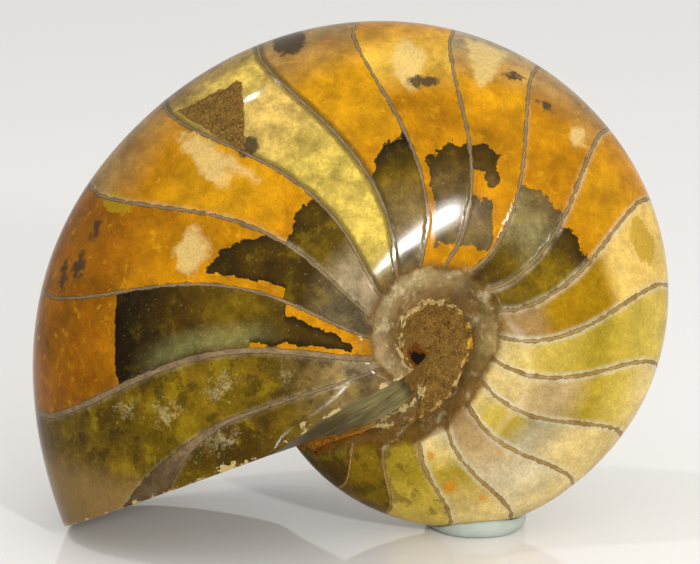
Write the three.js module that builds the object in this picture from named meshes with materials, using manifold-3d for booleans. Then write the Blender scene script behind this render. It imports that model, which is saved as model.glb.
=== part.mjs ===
// A polished fossil nautilus that stands on its lip and on a flat pad of putty.
// Millimetres, +Z up. The near flank faces -Y, the mouth is at -X.
// The shell is drawn about its coil axis, leaned back, then stood on the floor.
import * as THREE from 'three';
import { ParametricGeometry } from 'three/addons/geometries/ParametricGeometry.js';
import { mergeVertices } from 'three/addons/utils/BufferGeometryUtils.js';
import Module from 'manifold-3d';

const wasm = await Module();
wasm.setup();

// Radius of the outer curve of the coil, one value every 30 degrees from 200 to 590.
const VENTER_FROM = 200;
const VENTER_TO = 590;
const VENTER_RADII = [32.6, 33.3, 34.7, 37.1, 38.8, 42.3, 46.6, 51.6, 57.2, 62.5, 67.9, 74, 77.2, 80.5];

// Cross-section of the whorl, as shares of the venter radius.
const HALF_WIDTH = 0.385;
const WIDEST_AT = 0.28;
const FLANK_POWER = 2;
const INNER_DROP = 0.07;

// Umbilicus: a rounded shoulder, a funnel wall and a plug of hard mud.
const SHOULDER_RADIUS = 11.6;
const SHOULDER_SWELL = 2.4;
const SHOULDER_SWELL_FROM = 340;
const SHOULDER_SWELL_SPAN = 230;
const PLUG_RADIUS = 6.8;
const PLUG_RIM_SHARE = 0.74;
const PLUG_MIDDLE_HEIGHT = 12.5;
const TAIL_BELOW = 325;
const TAIL_GROWTH = 13;
const TAIL_SPAN = 90;
const TAIL_POWER = 1.5;
const WALL_POWER = 1.7;

// The mouth is cut by a plane that passes this far from the coil axis.
const CUT_NORMAL = 290.8;
const CUT_OFFSET = 8.5;
const TURN = 360;
const BEVEL_RADIUS = 35.1;
const BEVEL_SWEEP = 42;
const BEVEL_POWER = 4;

// Line where the ground strip beside the mouth meets the earlier whorl.
const SEAM_BEND_RADIUS = 20.4;
const SEAM_BEND_ANGLE = 234.6;
const SEAM_VENTER_RADIUS = 33.3;
const SEAM_VENTER_ANGLE = 215.6;
const SEAM_POWER = 0.85;
const SEAM_TURN = 30;

// Fineness of the shell surface.
const WHORL_COLUMNS = 84;
const MOUTH_COLUMNS = 8;
const ROWS_A_SIDE = 18;
const PLUG_ROWS = 3 / ROWS_A_SIDE;
const WALL_ROWS = 6 / ROWS_A_SIDE;
const SETTLE_STEPS = 60;
const WELD = 1e-4;

// How the shell stands, and the putty pad under it.
const LEAN = 14;
const PAD_X = 8.4;
const PAD_Y = -3.6;
const PAD_HALF_LENGTH = 10.2;
const PAD_HALF_DEPTH = 10.2;
const PAD_HEIGHT = 4.3;
const PAD_FOOT = 0.86;
const PAD_SEGMENTS = 40;
const PAD_EDGE_STEPS = 8;
const PAD_TURN = 8;
const PAD_GAP = 0.3;

const sin = (degrees) => Math.sin(THREE.MathUtils.degToRad(degrees));
const cos = (degrees) => Math.cos(THREE.MathUtils.degToRad(degrees));
const mix = THREE.MathUtils.lerp;

const venterCurve = new THREE.SplineCurve(VENTER_RADII.map((radius, i) => new THREE.Vector2(i, radius)));

function venterRadius(angle) {
  return venterCurve.getPoint((angle - VENTER_FROM) / (VENTER_TO - VENTER_FROM)).y;
}

// The tail of the plug and of the shoulder opens out towards the start of the whorl.
function tail(angle) {
  return TAIL_GROWTH * (Math.max(0, TAIL_BELOW - angle) / TAIL_SPAN) ** TAIL_POWER;
}

function shoulderRadius(angle) {
  const swell = sin((180 * (angle - SHOULDER_SWELL_FROM)) / SHOULDER_SWELL_SPAN);
  return SHOULDER_RADIUS + tail(angle) + (angle > TAIL_BELOW ? SHOULDER_SWELL * Math.max(0, swell) : 0);
}

function plugRadius(angle) {
  return PLUG_RADIUS + tail(angle);
}

// Half width of the whorl at a radius.
function flankHeight(radius, angle) {
  const venter = venterRadius(angle);
  const share = Math.min(1, radius / venter);
  if (share < WIDEST_AT) {
    return venter * (HALF_WIDTH - INNER_DROP * ((WIDEST_AT - share) / WIDEST_AT) ** 2);
  }
  const outward = (share - WIDEST_AT) / (1 - WIDEST_AT);
  return venter * HALF_WIDTH * Math.sqrt(1 - outward ** FLANK_POWER);
}

// Rows run from 0 on the coil axis to 1 on the venter.
function rowRadius(row, angle) {
  const plug = plugRadius(angle);
  if (row < PLUG_ROWS) {
    return (plug * row) / PLUG_ROWS;
  }
  const shoulder = shoulderRadius(angle);
  if (row < WALL_ROWS) {
    return mix(plug, shoulder, (row - PLUG_ROWS) / (WALL_ROWS - PLUG_ROWS));
  }
  return mix(shoulder, venterRadius(angle), sin((90 * (row - WALL_ROWS)) / (1 - WALL_ROWS)));
}

function rowHeight(row, angle) {
  if (row >= WALL_ROWS) {
    return flankHeight(rowRadius(row, angle), angle);
  }
  const shoulder = flankHeight(shoulderRadius(angle), angle);
  const rim = PLUG_RIM_SHARE * shoulder;
  if (row < PLUG_ROWS) {
    return mix(PLUG_MIDDLE_HEIGHT, rim, (row / PLUG_ROWS) ** 2);
  }
  const climb = (row - PLUG_ROWS) / (WALL_ROWS - PLUG_ROWS);
  return mix(rim, shoulder, 1 - (1 - climb) ** WALL_POWER);
}

const cutAngle = (radius) => TURN + CUT_NORMAL - THREE.MathUtils.radToDeg(Math.acos(CUT_OFFSET / radius));

// The mouth edge is straight on the flank and is rubbed back near the umbilicus.
function mouthAngle(radius) {
  if (radius > BEVEL_RADIUS) {
    return cutAngle(radius);
  }
  return cutAngle(BEVEL_RADIUS) + BEVEL_SWEEP * (1 - radius / BEVEL_RADIUS) ** BEVEL_POWER;
}

function seamAngle(radius) {
  if (radius > SEAM_BEND_RADIUS) {
    const outward = (radius - SEAM_BEND_RADIUS) / (SEAM_VENTER_RADIUS - SEAM_BEND_RADIUS);
    return mix(SEAM_BEND_ANGLE, SEAM_VENTER_ANGLE, outward ** SEAM_POWER);
  }
  return SEAM_BEND_ANGLE + SEAM_TURN * (1 - radius / SEAM_BEND_RADIUS);
}

// The angle at which a row meets a boundary line of the whorl.
function rowMeets(row, boundaryAngle, start) {
  let angle = start;
  for (let step = 0; step < SETTLE_STEPS; step += 1) {
    angle = mix(angle, boundaryAngle(rowRadius(row, angle)), 0.5);
  }
  return angle;
}

function whorlPoint(row, angle) {
  const radius = rowRadius(row, angle);
  return new THREE.Vector3(radius * cos(angle), -rowHeight(row, angle), radius * sin(angle));
}

// One closed surface: along the whorl from seam to mouth, then back over the cut mouth.
function shellPoint(around, across, target) {
  const nearSide = across > 0.5;
  const row = nearSide ? 2 * (1 - across) : 2 * across;
  const seam = rowMeets(row, seamAngle, CUT_NORMAL - 60);
  const mouth = rowMeets(row, mouthAngle, TURN + CUT_NORMAL - 75);
  const whorlShare = WHORL_COLUMNS / (WHORL_COLUMNS + MOUTH_COLUMNS);
  if (around <= whorlShare) {
    target.copy(whorlPoint(row, mix(seam, mouth, around / whorlShare)));
  } else {
    const back = (around - whorlShare) / (1 - whorlShare);
    target.copy(whorlPoint(row, mouth)).lerp(whorlPoint(row, seam), back);
  }
  if (!nearSide) {
    target.y = -target.y;
  }
}

// Welds the seams of a surface and drops the triangles that closed up at the poles.
function welded(geometry) {
  const bare = new THREE.BufferGeometry();
  bare.setAttribute('position', geometry.getAttribute('position').clone());
  bare.setIndex(geometry.getIndex());
  const merged = mergeVertices(bare, WELD);
  const corners = merged.getIndex().array;
  const kept = [];
  for (let i = 0; i < corners.length; i += 3) {
    const [a, b, c] = corners.slice(i, i + 3);
    if (a !== b && b !== c && c !== a) {
      kept.push(a, b, c);
    }
  }
  merged.setIndex(kept);
  return merged;
}

function solid(geometry) {
  return new wasm.Manifold(new wasm.Mesh({
    numProp: 3,
    vertProperties: new Float32Array(geometry.getAttribute('position').array),
    triVerts: new Uint32Array(geometry.getIndex().array),
  }));
}

function surface(body) {
  const mesh = body.getMesh();
  const geometry = new THREE.BufferGeometry();
  geometry.setAttribute('position', new THREE.BufferAttribute(mesh.vertProperties, 3));
  geometry.setIndex(new THREE.BufferAttribute(mesh.triVerts, 1));
  geometry.computeVertexNormals();
  return geometry;
}

const shellGeometry = welded(new ParametricGeometry(shellPoint, WHORL_COLUMNS + MOUTH_COLUMNS, 2 * ROWS_A_SIDE));
shellGeometry.rotateX(THREE.MathUtils.degToRad(-LEAN));
shellGeometry.computeBoundingBox();
shellGeometry.translate(0, 0, -shellGeometry.boundingBox.min.z);
shellGeometry.computeVertexNormals();

// The pad bulges at its edge, then the shell is pressed into it.
function padProfile() {
  const points = [new THREE.Vector2(0, 0)];
  for (let step = 0; step <= PAD_EDGE_STEPS; step += 1) {
    const climb = (180 * step) / PAD_EDGE_STEPS;
    points.push(new THREE.Vector2(mix(PAD_FOOT, 1, sin(climb)), (PAD_HEIGHT * (1 - cos(climb))) / 2));
  }
  points.push(new THREE.Vector2(0, PAD_HEIGHT));
  return points;
}

const padBlank = new THREE.LatheGeometry(padProfile(), PAD_SEGMENTS);
padBlank.rotateX(Math.PI / 2);
padBlank.scale(PAD_HALF_LENGTH, PAD_HALF_DEPTH, 1);
padBlank.rotateZ(THREE.MathUtils.degToRad(PAD_TURN));
padBlank.translate(PAD_X, PAD_Y, 0);
const pressed = solid(welded(padBlank)).subtract(solid(shellGeometry).translate([0, 0, -PAD_GAP]));
const padGeometry = surface(pressed.decompose().sort((a, b) => b.volume() - a.volume())[0]);

const shell = new THREE.Mesh(
  shellGeometry,
  new THREE.MeshStandardMaterial({ color: 0xb08a30, roughness: 0.25 }),
);
shell.name = 'fossil_shell';
const pad = new THREE.Mesh(
  padGeometry,
  new THREE.MeshStandardMaterial({ color: 0xa9b0a6, roughness: 0.7 }),
);
pad.name = 'putty_pad';

const group = new THREE.Group();
group.add(shell, pad);
const box = new THREE.Box3().setFromObject(group);
const middle = box.getCenter(new THREE.Vector3());
group.position.set(-middle.x, -middle.y, -box.min.z);
group.updateMatrixWorld(true);

export default group;
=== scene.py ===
"""A polished fossil nautilus standing on the tip of its cut lip and on a pad of putty.

The stone is one closed surface laid along the coil: from the seam under the mouth, round the whorl to the
mouth, and back over the sawn face. Its columns follow the chamber walls, so each chamber keeps its own
filling up to the wall. Lengths are millimetres until a mesh is made. Angles are degrees about the coil axis,
counted along the coil.
"""

import bpy
import numpy as np
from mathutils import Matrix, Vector, noise
from mathutils.bvhtree import BVHTree


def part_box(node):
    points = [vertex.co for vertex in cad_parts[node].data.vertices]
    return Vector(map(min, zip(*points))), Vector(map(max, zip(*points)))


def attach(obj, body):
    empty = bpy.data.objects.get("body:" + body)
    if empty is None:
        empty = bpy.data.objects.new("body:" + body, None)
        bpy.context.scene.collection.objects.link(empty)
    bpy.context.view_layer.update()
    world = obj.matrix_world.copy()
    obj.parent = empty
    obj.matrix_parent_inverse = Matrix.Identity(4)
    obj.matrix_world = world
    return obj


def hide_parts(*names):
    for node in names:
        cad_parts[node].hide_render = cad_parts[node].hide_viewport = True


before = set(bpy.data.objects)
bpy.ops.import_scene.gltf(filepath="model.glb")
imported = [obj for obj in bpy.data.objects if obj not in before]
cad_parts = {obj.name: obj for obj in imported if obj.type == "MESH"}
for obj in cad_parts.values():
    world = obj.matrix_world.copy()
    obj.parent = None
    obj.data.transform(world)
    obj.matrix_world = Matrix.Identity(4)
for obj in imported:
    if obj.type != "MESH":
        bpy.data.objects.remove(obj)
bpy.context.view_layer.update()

MM = 0.001

# The coil, as in the CAD model.
VENTER_FROM, VENTER_STEP = 200, 30
VENTER_RADII = np.array([32.6, 33.3, 34.7, 37.1, 38.8, 42.3, 46.6, 51.6, 57.2, 62.5, 67.9, 74, 77.2, 80.5])
HALF_WIDTH, WIDEST_AT, FLANK_POWER, INNER_DROP = 0.385, 0.28, 2, 0.07
SHOULDER_RADIUS, SHOULDER_SWELL, SWELL_FROM, SWELL_SPAN = 11.6, 2.4, 340, 230
PLUG_RADIUS, PLUG_RIM_SHARE, PLUG_MIDDLE_HEIGHT = 6.8, 0.74, 12.5
TAIL_BELOW, TAIL_GROWTH, TAIL_SPAN, TAIL_POWER = 325, 13, 90, 1.5
WALL_FOOT_SLOPE, WALL_TOP_SLOPE = 1.7, 0.6
CUT_NORMAL, CUT_OFFSET = 290.8, 8.5
BEVEL_RADIUS, BEVEL_SWEEP, BEVEL_POWER = 35.1, 42, 4
SEAM_BEND_RADIUS, SEAM_BEND_ANGLE = 20.4, 234.6
SEAM_VENTER_RADIUS, SEAM_VENTER_ANGLE, SEAM_POWER, SEAM_TURN = 33.3, 215.6, 0.85, 30
LEAN = 14
TURN = 360

# Rows run from 0 on the coil axis to 1 on the venter.
PLUG_ROW, WALL_ROW = 1 / 6, 1 / 3
PLUG_STEPS, WALL_STEPS, FLANK_STEPS = 28, 14, 64
COLUMN_DEGREES, LEAST_COLUMNS = 0.95, 6
MOUTH_STEPS, MOUTH_GATHER = 26, 0.6
SETTLE_STEPS, SEAM_GUESS, MOUTH_GUESS = 60, 230, 575
LIP_ROUND = 0.22

# Beside the navel the flank rolls off towards the lip: drop and reach in millimetres, and the radii over
# which the roll begins and ends.
ROLL_DROP, ROLL_REACH, ROLL_START, ROLL_END = 1.7, 5.5, (10, 13), (38, 30)

# Lumps and grains of the mud in the navel: millimetres across and high. Each side has its own.
MUD_LUMP, MUD_LUMP_HEIGHT, MUD_GRAIN, MUD_GRAIN_HEIGHT = 2.6, 0.55, 0.8, 0.22
MUD_SIDES_APART, MUD_RIM_STEEPNESS = 37, 6

PUTTY_FOOT, PUTTY_GAP = 0.86, 0.1
PUTTY_WOBBLE, PUTTY_LOBES, PUTTY_DOME = 0.05, 1.4, 0.1
PUTTY_DENT, PUTTY_DENT_DEPTH = 4, 0.06
PUTTY_SIDES, PUTTY_RINGS, PUTTY_RIM_STEPS = 72, 14, 11

# The lowest angle of each chamber wall on the flank, from the mouth back to the start of the whorl.
WALL_ANGLES = [561, 543, 525, 507.5, 490, 471.5, 454, 435.5, 417.5, 398]
WALL_ANGLES += [380, 359, 338.5, 317, 297, 278, 261.5, 244, 229]
# Each wall has a saddle near the venter, a lobe on the flank and a hook into the navel. Saddles and hooks are
# degrees, places on the flank are shares of the venter radius.
SADDLE_RISE, SADDLE_FROM, SADDLE_FADE, SADDLE_END = 17.6, 297, 330, 0.96
OLD_WALLS_BELOW, OLD_SADDLE_LOSS = 290, 0.13
VENTER_DIP_FROM = 0.95
HOOK_LEAST, HOOK_MORE, HOOK_AT, HOOK_SPREAD, HOOK_POWER = 30, 45, 405, 70, 2.2
LOBE_SHARE, LOBE_OUT_LATE, LATE_WALLS = 0.38, 0.08, (440, 510)
LOBE_OUT_EARLY, EARLY_WALLS = 0.22, (292, 245)
FIRST_SADDLE, FIRST_HOOK, FIRST_LOBE_SHARE, FIRST_SPACING = 13, 12, 0.5, 18

# A distance that is far outside a patch, in millimetres.
FAR = 50.0
NOWHERE = -FAR


def hex_colour(code):
    """A hex colour as linear red, green and blue."""
    channels = [int(code[i : i + 2], 16) / 255 for i in (1, 3, 5)]
    return [c / 12.92 if c <= 0.04045 else ((c + 0.055) / 1.055) ** 2.4 for c in channels]


def blend(a, b, share):
    return a + (b - a) * share


def ease(low, high, value):
    """0 at low, 1 at high, smooth between, whichever of the two is larger."""
    x = np.clip((value - low) / (high - low), 0, 1)
    return x * x * (3 - 2 * x)


def sine(degrees):
    return np.sin(np.radians(degrees))


def cosine(degrees):
    return np.cos(np.radians(degrees))


# Shape of the coil


def venter_radius(angle):
    """Radius of the outer curve: a smooth curve through the radii."""
    last = len(VENTER_RADII) - 1
    place = np.clip((angle - VENTER_FROM) / VENTER_STEP, 0, last - 1e-6)
    i = np.floor(place).astype(int)
    f = place - i
    before, here = VENTER_RADII[np.maximum(i - 1, 0)], VENTER_RADII[i]
    after, beyond = VENTER_RADII[np.minimum(i + 1, last)], VENTER_RADII[np.minimum(i + 2, last)]
    leave, arrive = (after - before) / 2, (beyond - here) / 2
    cube = 2 * here - 2 * after + leave + arrive
    square = 3 * after - 3 * here - 2 * leave - arrive
    return ((cube * f + square) * f + leave) * f + here


def tail(angle):
    return TAIL_GROWTH * (np.maximum(0, TAIL_BELOW - angle) / TAIL_SPAN) ** TAIL_POWER


def shoulder_radius(angle):
    swell = np.where(angle > TAIL_BELOW, np.maximum(0, sine(180 * (angle - SWELL_FROM) / SWELL_SPAN)), 0)
    return SHOULDER_RADIUS + tail(angle) + SHOULDER_SWELL * swell


def plug_radius(angle):
    return PLUG_RADIUS + tail(angle)


def flank_height(radius, angle):
    """Half width of the whorl at a radius."""
    venter = venter_radius(angle)
    share = np.minimum(1, radius / venter)
    inner = HALF_WIDTH - INNER_DROP * ((WIDEST_AT - share) / WIDEST_AT) ** 2
    outward = np.clip((share - WIDEST_AT) / (1 - WIDEST_AT), 0, 1)
    return venter * np.where(share < WIDEST_AT, inner, HALF_WIDTH * np.sqrt(1 - outward**FLANK_POWER))


def row_radius(row, angle):
    plug, shoulder = plug_radius(angle), shoulder_radius(angle)
    on_wall = blend(plug, shoulder, (row - PLUG_ROW) / (WALL_ROW - PLUG_ROW))
    outward = sine(90 * np.clip((row - WALL_ROW) / (1 - WALL_ROW), 0, 1))
    on_flank = blend(shoulder, venter_radius(angle), outward)
    return np.where(row < PLUG_ROW, plug * row / PLUG_ROW, np.where(row < WALL_ROW, on_wall, on_flank))


def row_height(row, angle):
    shoulder = flank_height(shoulder_radius(angle), angle)
    rim = PLUG_RIM_SHARE * shoulder
    on_plug = blend(PLUG_MIDDLE_HEIGHT, rim, (row / PLUG_ROW) ** 2)
    climb = np.clip((row - PLUG_ROW) / (WALL_ROW - PLUG_ROW), 0, 1)
    start, end = climb**3 - 2 * climb**2 + climb, climb**3 - climb**2
    climbed = 3 * climb**2 - 2 * climb**3 + WALL_FOOT_SLOPE * start + WALL_TOP_SLOPE * end
    on_wall = blend(rim, shoulder, climbed)
    on_flank = flank_height(row_radius(row, angle), angle)
    return np.where(row < PLUG_ROW, on_plug, np.where(row < WALL_ROW, on_wall, on_flank))


def cut_angle(radius):
    return TURN + CUT_NORMAL - np.degrees(np.arccos(CUT_OFFSET / np.maximum(radius, CUT_OFFSET)))


def mouth_angle(radius):
    inward = np.maximum(0, 1 - radius / BEVEL_RADIUS)
    return cut_angle(np.maximum(radius, BEVEL_RADIUS)) + BEVEL_SWEEP * inward**BEVEL_POWER


def seam_angle(radius):
    outward = np.maximum(0, (radius - SEAM_BEND_RADIUS) / (SEAM_VENTER_RADIUS - SEAM_BEND_RADIUS))
    outer = blend(SEAM_BEND_ANGLE, SEAM_VENTER_ANGLE, outward**SEAM_POWER)
    return outer + SEAM_TURN * np.maximum(0, 1 - radius / SEAM_BEND_RADIUS)


def wall_curve(number, share):
    """Angle of a chamber wall at a share of the venter radius."""
    lobe = WALL_ANGLES[number - 1]
    rise = SADDLE_RISE * np.exp((SADDLE_FROM - lobe) / SADDLE_FADE)
    if lobe <= OLD_WALLS_BELOW:
        rise = SADDLE_RISE - OLD_SADDLE_LOSS * (OLD_WALLS_BELOW - lobe)
    hook = HOOK_LEAST + HOOK_MORE * np.exp(-(((lobe - HOOK_AT) / HOOK_SPREAD) ** 2))
    early = np.clip((EARLY_WALLS[0] - lobe) / (EARLY_WALLS[0] - EARLY_WALLS[1]), 0, 1)
    lobe_share = LOBE_SHARE + LOBE_OUT_LATE * ease(*LATE_WALLS, lobe) + LOBE_OUT_EARLY * early
    if number == 1:
        rise, hook, lobe_share = FIRST_SADDLE, FIRST_HOOK, FIRST_LOBE_SHARE
    dip = np.clip((share - VENTER_DIP_FROM) / (1 - VENTER_DIP_FROM), 0, 1)
    outer = rise * ease(lobe_share, SADDLE_END, share) - dip
    inner = hook * np.clip((lobe_share - share) / lobe_share, 0, 1) ** HOOK_POWER
    return lobe + outer + inner


def settle(row, line, start):
    """The angle at which each row meets a line, which is a function of angle and radius."""
    angle = np.full_like(row, start, dtype=float)
    for _ in range(SETTLE_STEPS):
        angle = blend(angle, line(angle, row_radius(row, angle)), 0.5)
    return angle


# Laying out the columns

rows = np.concatenate([
    np.linspace(0, PLUG_ROW, PLUG_STEPS + 1),
    np.linspace(PLUG_ROW, WALL_ROW, WALL_STEPS + 1)[1:],
    np.linspace(WALL_ROW, 1, FLANK_STEPS + 1)[1:],
])
seam = settle(rows, lambda angle, radius: seam_angle(radius), SEAM_GUESS)
mouth = settle(rows, lambda angle, radius: mouth_angle(radius), MOUTH_GUESS)
flank_rows = np.maximum(rows, WALL_ROW)
seam_on_shoulder, mouth_on_shoulder = seam[PLUG_STEPS + WALL_STEPS], mouth[PLUG_STEPS + WALL_STEPS]
wall_hold = np.clip((rows - PLUG_ROW) / (WALL_ROW - PLUG_ROW), 0, 1)


def wall_column(number):
    """A chamber wall down the flank. Inside the navel the columns spread evenly instead."""
    line = settle(
        flank_rows,
        lambda angle, radius: wall_curve(number, radius / venter_radius(angle)),
        WALL_ANGLES[number - 1],
    )
    on_shoulder = line[0]
    share = (on_shoulder - seam_on_shoulder) / (mouth_on_shoulder - seam_on_shoulder)
    return blend(blend(seam, mouth, share), line, wall_hold)


OLDEST = len(WALL_ANGLES)
guides = [seam] + [wall_column(number) for number in range(OLDEST, 1, -1)] + [mouth]
angle_columns, chamber_of, across = [], [], []
for k, (older, younger) in enumerate(zip(guides, guides[1:])):
    steps = max(LEAST_COLUMNS, round(np.mean((younger - older)[PLUG_STEPS:]) / COLUMN_DEGREES))
    for step in range(steps):
        angle_columns.append(blend(older, younger, step / steps))
        chamber_of.append(OLDEST - k)
        across.append((1 - step / steps, 1 - (step + 1) / steps))
angle_columns.append(mouth)
near_angle = np.stack(angle_columns, 1)
chamber_of = np.array(chamber_of)
across = np.array(across)
row_grid = rows[:, None] + 0 * near_angle


def roughness_of_mud(x, z, side):
    """Grains and hollows of the mud that fills the navel, as a height."""
    place = Vector((x, z, MUD_SIDES_APART * side))
    lumps = noise.fractal(place / MUD_LUMP, 1.0, 2.0, 3)
    grains = noise.fractal(place / MUD_GRAIN, 0.9, 2.0, 3)
    return MUD_LUMP_HEIGHT * lumps + MUD_GRAIN_HEIGHT * grains


def mud_height(x, z, row, side):
    depth = np.clip((PLUG_ROW - row) / PLUG_ROW * MUD_RIM_STEEPNESS, 0, 1)
    bumps = [roughness_of_mud(a, b, side) if d > 0 else 0 for a, b, d in zip(x.flat, z.flat, depth.flat)]
    return np.reshape(bumps, x.shape) * depth


def side_points(side):
    """Points of the whorl on one side, -1 near and 1 far, then the sawn face back to the seam."""
    radius, height = row_radius(row_grid, near_angle), row_height(row_grid, near_angle)
    to_lip = np.radians(mouth[:, None] - near_angle) * radius
    roll = np.clip(1 - to_lip / ROLL_REACH, 0, 1) ** 2 * ease(*ROLL_START, radius) * ease(*ROLL_END, radius)
    height = height - ROLL_DROP * roll
    whorl = np.stack([radius * cosine(near_angle), side * height, radius * sine(near_angle)], -1)
    back = np.linspace(0, 1, MOUTH_STEPS + 1)[1:-1, None]
    back = blend(back, ease(0, 1, back), MOUTH_GATHER)
    sawn = whorl[:, -1:, :] + (whorl[:, :1, :] - whorl[:, -1:, :]) * back[None]
    points = np.concatenate([whorl, sawn], 1)
    # The lip is rubbed down to a small round.
    last = near_angle.shape[1] - 1
    beside = (points[:, last - 1] + points[:, last + 1]) / 2
    points[:, last] = blend(points[:, last], beside, LIP_ROUND)
    full_row = rows[:, None] + np.zeros(points.shape[1])
    points[..., 1] += side * mud_height(points[..., 0], points[..., 2], full_row, side)
    return points


near, far = side_points(-1), side_points(1)
grid = np.concatenate([near, far[-2::-1]], 0)
grid[len(rows) - 1, :, 1] = 0
flat_grid = grid[..., [0, 2]]
lean_y = grid[..., 1] * cosine(LEAN) + grid[..., 2] * sine(LEAN)
lean_z = -grid[..., 1] * sine(LEAN) + grid[..., 2] * cosine(LEAN)
grid = np.stack([grid[..., 0], lean_y, lean_z], -1)
cad_low, cad_high = (np.array(corner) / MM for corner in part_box("fossil_shell"))
low, high = grid.min((0, 1)), grid.max((0, 1))
stand = (cad_low + cad_high) / 2 - (low + high) / 2
stand[2] = cad_low[2] - low[2]
grid += stand

# Fields of the filling, one value at each corner of each face

full_rows = np.concatenate([rows, rows[-2::-1]])
bands, whorl_faces = len(full_rows) - 1, near_angle.shape[1] - 1
mouth_faces = grid.shape[1] - whorl_faces
near_band = np.arange(bands) < len(rows) - 1


def corners(values):
    """A grid of values as four corners a face."""
    return np.stack([values[:-1, :-1], values[1:, :-1], values[1:, 1:], values[:-1, 1:]], -1)


def whole(values):
    """Rows of one side, out to the venter and back over the other side."""
    return np.concatenate([values, values[-2::-1]], 0)


angle = corners(whole(near_angle))
row = corners(full_rows[:, None] + 0 * whole(near_angle))
radius = row_radius(row, angle)
reach = radius / venter_radius(angle)
older_share = np.stack([across[:, 0], across[:, 0], across[:, 1], across[:, 1]], -1)[None] + 0 * angle
chamber = chamber_of[None, :, None] + np.zeros(angle.shape, int)
far_side = ~near_band[:, None, None] & np.ones(angle.shape, bool)

# Chamber number along the coil: a whole number on each wall.
first_wall = wall_curve(1, reach)
second_wall = wall_curve(2, reach)
before_first = 2 - (angle - second_wall) / np.maximum(first_wall - second_wall, 1)
past_first = 1 - (angle - first_wall) / FIRST_SPACING
count = chamber + older_share
count = np.where(chamber == 1, np.where(angle < first_wall, before_first, past_first), count)
count = np.where(chamber == OLDEST, OLDEST + older_share / 2, count)


def along_face(values):
    """Change of a value over a face, along the coil."""
    return (values[:, :, 3] + values[:, :, 2] - values[:, :, 0] - values[:, :, 1]) / 2


def down_face(values):
    """Change of a value over a face, from row to row."""
    return (values[:, :, 1] + values[:, :, 2] - values[:, :, 0] - values[:, :, 3]) / 2


# How long a chamber is where a face lies, and how far the face is from both of its walls.
face_points = np.stack([corners(grid[:, : whorl_faces + 1, axis]) for axis in range(3)], -1)
along, down = along_face(face_points), down_face(face_points)
count_along, count_down = along_face(count), down_face(count)
length, height, slant = (along**2).sum(-1), (down**2).sum(-1), (along * down).sum(-1)
rise = height * count_along**2 - 2 * slant * count_along * count_down + length * count_down**2
steepness = np.sqrt(np.maximum(rise, 0) / np.maximum(length * height - slant**2, 1e-9))
chamber_mm = (1 / np.maximum(steepness, 1e-3))[..., None] + np.zeros(4)
from_younger = np.abs(count - chamber) * chamber_mm
from_older = np.abs(count - chamber - 1) * chamber_mm

# The stone's colours, from the photograph.
STONE = {
    "ochre": "#AB7200",
    "amber": "#BB8408",
    "golden": "#906C04",
    "yellow": "#D8AC40",
    "olive": "#604A06",
    "moss": "#785E08",
    "deep": "#422F03",
    "black": "#1C1202",
    "smoky": "#745F36",
    "slate": "#625438",
    "grey": "#948260",
    "straw": "#B89E44",
    "cream": "#BEA668",
    "pale": "#BAAA84",
    "mustard": "#98801C",
    "tan": "#8E7040",
    "brown": "#6A4E18",
    "rust": "#8A5404",
    "butter": "#C8A656",
    "ground": "#524A34",
    # painted light on the inner end of the sawn strip
    "lit_khaki": "#7E764E",
    "dove": "#988B6A",
    "fawn": "#A68C5E",
    "sage": "#8E8050",
}


def stone_colour(name):
    """Linear colour of a stone in the list, or of a hex colour."""
    return np.array(hex_colour(STONE.get(name, name)))


def tint_along(value, stops):
    """Colour at each value, between stops that pair a value with a stone or a hex colour."""
    places = [place for place, _ in stops]
    tints = np.array([stone_colour(name) for _, name in stops])
    return np.stack([np.interp(value, places, tints[:, c]) for c in range(3)], -1)


# What fills each chamber from the navel outwards, as radius and stone.
CHAMBERS = {
    1: ((12, "grey"), (20, "smoky"), (30, "olive"), (47, "moss"), (58, "olive"), (74, "olive")),
    2: ((14, "deep"), (24, "deep"), (36, "olive"), (44, "deep"), (57, "black")),
    3: ((14, "slate"), (20, "slate"), (26, "deep"), (44, "deep")),
    4: ((14, "grey"), (21, "grey"), (25, "olive"), (34, "deep")),
    5: ((14, "slate"), (20, "straw"), (40, "straw"), (52, "butter"), (60, "straw"), (66, "tan")),
    6: ((14, "slate"), (24, "smoky"), (31, "olive"), (37, "black")),
    7: ((14, "smoky"), (22, "smoky"), (34, "deep")),
    8: ((14, "smoky"), (22, "smoky"), (34, "deep")),
    9: ((14, "deep"), (20, "olive"), (26, "sage"), (32, "smoky")),
    10: ((14, "olive"), (24, "moss"), (31, "deep")),
    11: ((13, "tan"), (19, "tan"), (22, "golden"), (33, "golden"), (36, "butter"), (46, "butter")),
    12: ((13, "cream"), (20, "straw"), (30, "mustard"), (42, "straw")),
    13: ((13, "cream"), (26, "fawn"), (31, "mustard"), (36, "straw"), (40, "cream")),
    14: ((13, "cream"), (17, "straw"), (21, "mustard"), (25, "dove"), (33, "cream"), (38, "cream")),
    15: ((13, "tan"), (22, "fawn"), (30, "pale"), (38, "cream")),
    16: ((15, "pale"), (20, "cream"), (25, "mustard"), (34, "cream")),
    17: ((18, "mustard"), (26, "mustard"), (34, "straw")),
    18: ((18, "brown"), (25, "moss"), (34, "olive")),
    19: ((18, "brown"), (34, "deep")),
}
BEFORE_MOUTH = ((20, "smoky"), (30, "olive"), (38, "deep"), (60, "olive"))

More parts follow.
